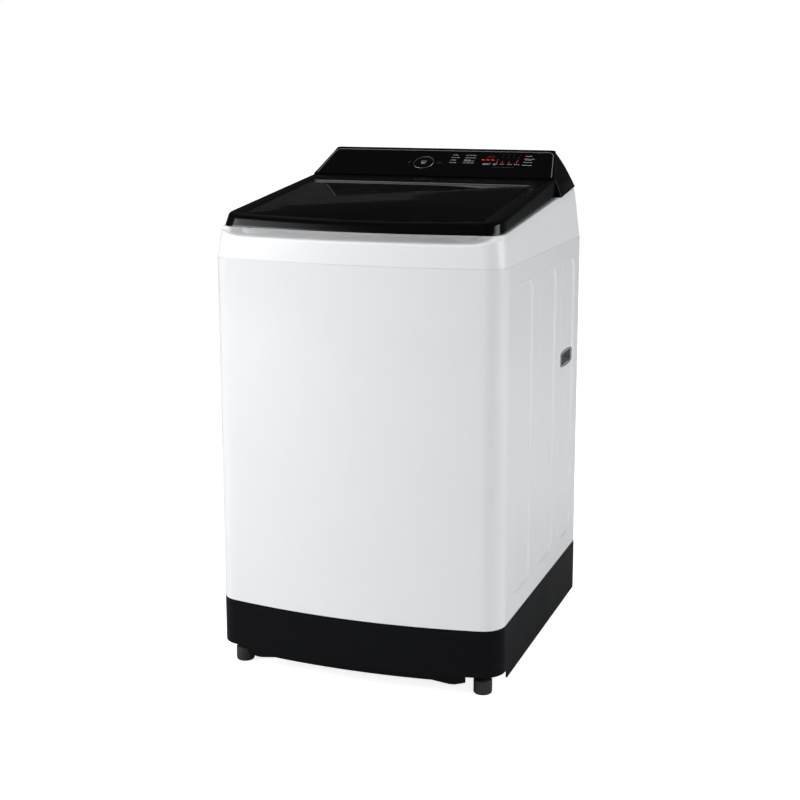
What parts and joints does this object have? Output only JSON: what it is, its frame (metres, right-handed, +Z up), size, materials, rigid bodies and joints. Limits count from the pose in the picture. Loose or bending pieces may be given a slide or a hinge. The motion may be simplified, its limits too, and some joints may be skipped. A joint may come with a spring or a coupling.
{
  "type": "top load washing machine",
  "caption": "Top load washing machine with a sloped glass lid, raked control console, sprung tub, perforated drum, pulsator and detergent drawer.",
  "frame": {"origin": "on the floor, under the middle of the whole outline", "axes": "+Z up and along the longest extent, +X to the right of someone facing the front and along the shortest extent, +Y towards the back"},
  "size_m": [0.61, 0.665, 1.05],
  "materials": {
    "white_enamel": "gloss enamel",
    "zinc_steel": "galvanised",
    "dark_plastic": "satin",
    "foot_rubber": "matt",
    "plain_steel": "zinc plated",
    "white_plastic": "gloss",
    "gloss_black": "piano black",
    "panel_black": "gloss",
    "dark_trim": "gloss",
    "bright_ring": "satin chrome",
    "board": "lacquered",
    "grip_grey": "satin",
    "bumper_rubber": "matt",
    "tinted_glass": "tempered, dark tint",
    "drawer_grey": "satin",
    "blue_plastic": "satin",
    "natural_plastic": "moulded",
    "spring_steel": "oiled",
    "bellows_rubber": "matt",
    "tub_plastic": "moulded",
    "cast_alloy": "as cast",
    "bearing_steel": "ground",
    "copper_windings": "varnished windings",
    "stainless": "polished stainless steel",
    "rotor_steel": "plated"
  },
  "bodies": {
    "cabinet": {"cabinet_shell": "white_enamel", "rear_panel": "zinc_steel", "service_cover": "zinc_steel", "base_frame": "dark_plastic", "bottom_guard": "dark_plastic", "rear_feet": "foot_rubber", "foot_lock_nuts": "plain_steel", "top_cover": "white_plastic", "console_housing": "gloss_black", "control_panel": "panel_black", "panel_trim": "dark_trim", "course_ring": "bright_ring", "display_module": "dark_plastic", "main_board": "board", "side_grip_left": "grip_grey", "side_grip_right": "grip_grey", "hinge_brackets": "plain_steel", "lid_lock": "dark_plastic", "lid_bumpers": "bumper_rubber", "dispenser_box": "white_plastic", "inlet_valve": "natural_plastic", "pressure_sensor": "natural_plastic", "suspension_hangers": "zinc_steel", "suspension_rods": "plain_steel", "suspension_springs": "spring_steel", "drain_pump": "dark_plastic", "drain_bellows": "bellows_rubber", "drain_outlet": "grip_grey", "cord_gland": "foot_rubber", "rear_screws": "plain_steel"},
    "lid": {"lid_frame": "gloss_black", "lid_glass": "tinted_glass", "lid_inner_frame": "dark_plastic", "lid_hinge_pins": "plain_steel", "lid_strike": "plain_steel"},
    "tub": {"outer_tub": "tub_plastic", "tub_cover": "tub_plastic", "bearing_housing": "cast_alloy", "spin_bearings": "bearing_steel", "shaft_seal": "bellows_rubber", "stator": "copper_windings", "spring_seats": "natural_plastic"},
    "drum": {"drum_shell": "stainless", "drum_floor": "natural_plastic", "balance_ring": "natural_plastic", "drum_hub": "cast_alloy", "spin_shaft": "plain_steel", "clutch_sleeve": "dark_plastic", "lint_filters": "natural_plastic"},
    "agitator": {"pulsator": "drawer_grey", "pulsator_cap": "bright_ring", "wash_shaft": "plain_steel", "rotor": "rotor_steel"},
    "drawer": {"detergent_drawer": "drawer_grey", "siphon_cap": "blue_plastic"},
    "key": {"course_key": "panel_black"},
    "lock_pin": {"lock_bolt": "plain_steel"},
    "foot_left": {"front_foot_left": "foot_rubber"},
    "foot_right": {"front_foot_right": "foot_rubber"}
  },
  "joints": [
    {"name": "lid_hinge", "type": "hinge", "parent": "cabinet", "child": "lid", "pos_m": [0, 0.155, 0.98027], "axis": [-1, 0, 0], "range_deg": [0, 95]},
    {"name": "tub_bounce", "type": "slide", "parent": "cabinet", "child": "tub", "axis": [0, 0, 1], "range_m": [-0.012, 0.008], "stiffness_N_per_m": 12000, "springref_m": 0.02444, "deforming": ["suspension_springs", "drain_bellows"]},
    {"name": "drum_spin", "type": "hinge", "parent": "tub", "child": "drum", "pos_m": [0, -0.012, 0.25], "axis": [0, 0, 1], "continuous": true},
    {"name": "pulsator_turn", "type": "hinge", "parent": "drum", "child": "agitator", "pos_m": [0, -0.012, 0.25], "axis": [0, 0, 1], "continuous": true},
    {"name": "drawer_slide", "type": "slide", "parent": "cabinet", "child": "drawer", "axis": [0, -1, 0], "range_m": [0, 0.09]},
    {"name": "course_key_push", "type": "slide", "parent": "cabinet", "child": "key", "axis": [0, 0.5075, -0.8616], "range_m": [0, 0.0012], "stiffness_N_per_m": 400},
    {"name": "lock_bolt_slide", "type": "slide", "parent": "cabinet", "child": "lock_pin", "axis": [1, 0, 0], "range_m": [0, 0.0055], "stiffness_N_per_m": 200},
    {"name": "foot_left_turn", "type": "hinge", "parent": "cabinet", "child": "foot_left", "pos_m": [-0.262, -0.2695, 0.01], "axis": [0, 0, 1], "continuous": true},
    {"name": "foot_right_turn", "type": "hinge", "parent": "cabinet", "child": "foot_right", "pos_m": [0.262, -0.2695, 0.01], "axis": [0, 0, 1], "continuous": true}
  ]
}
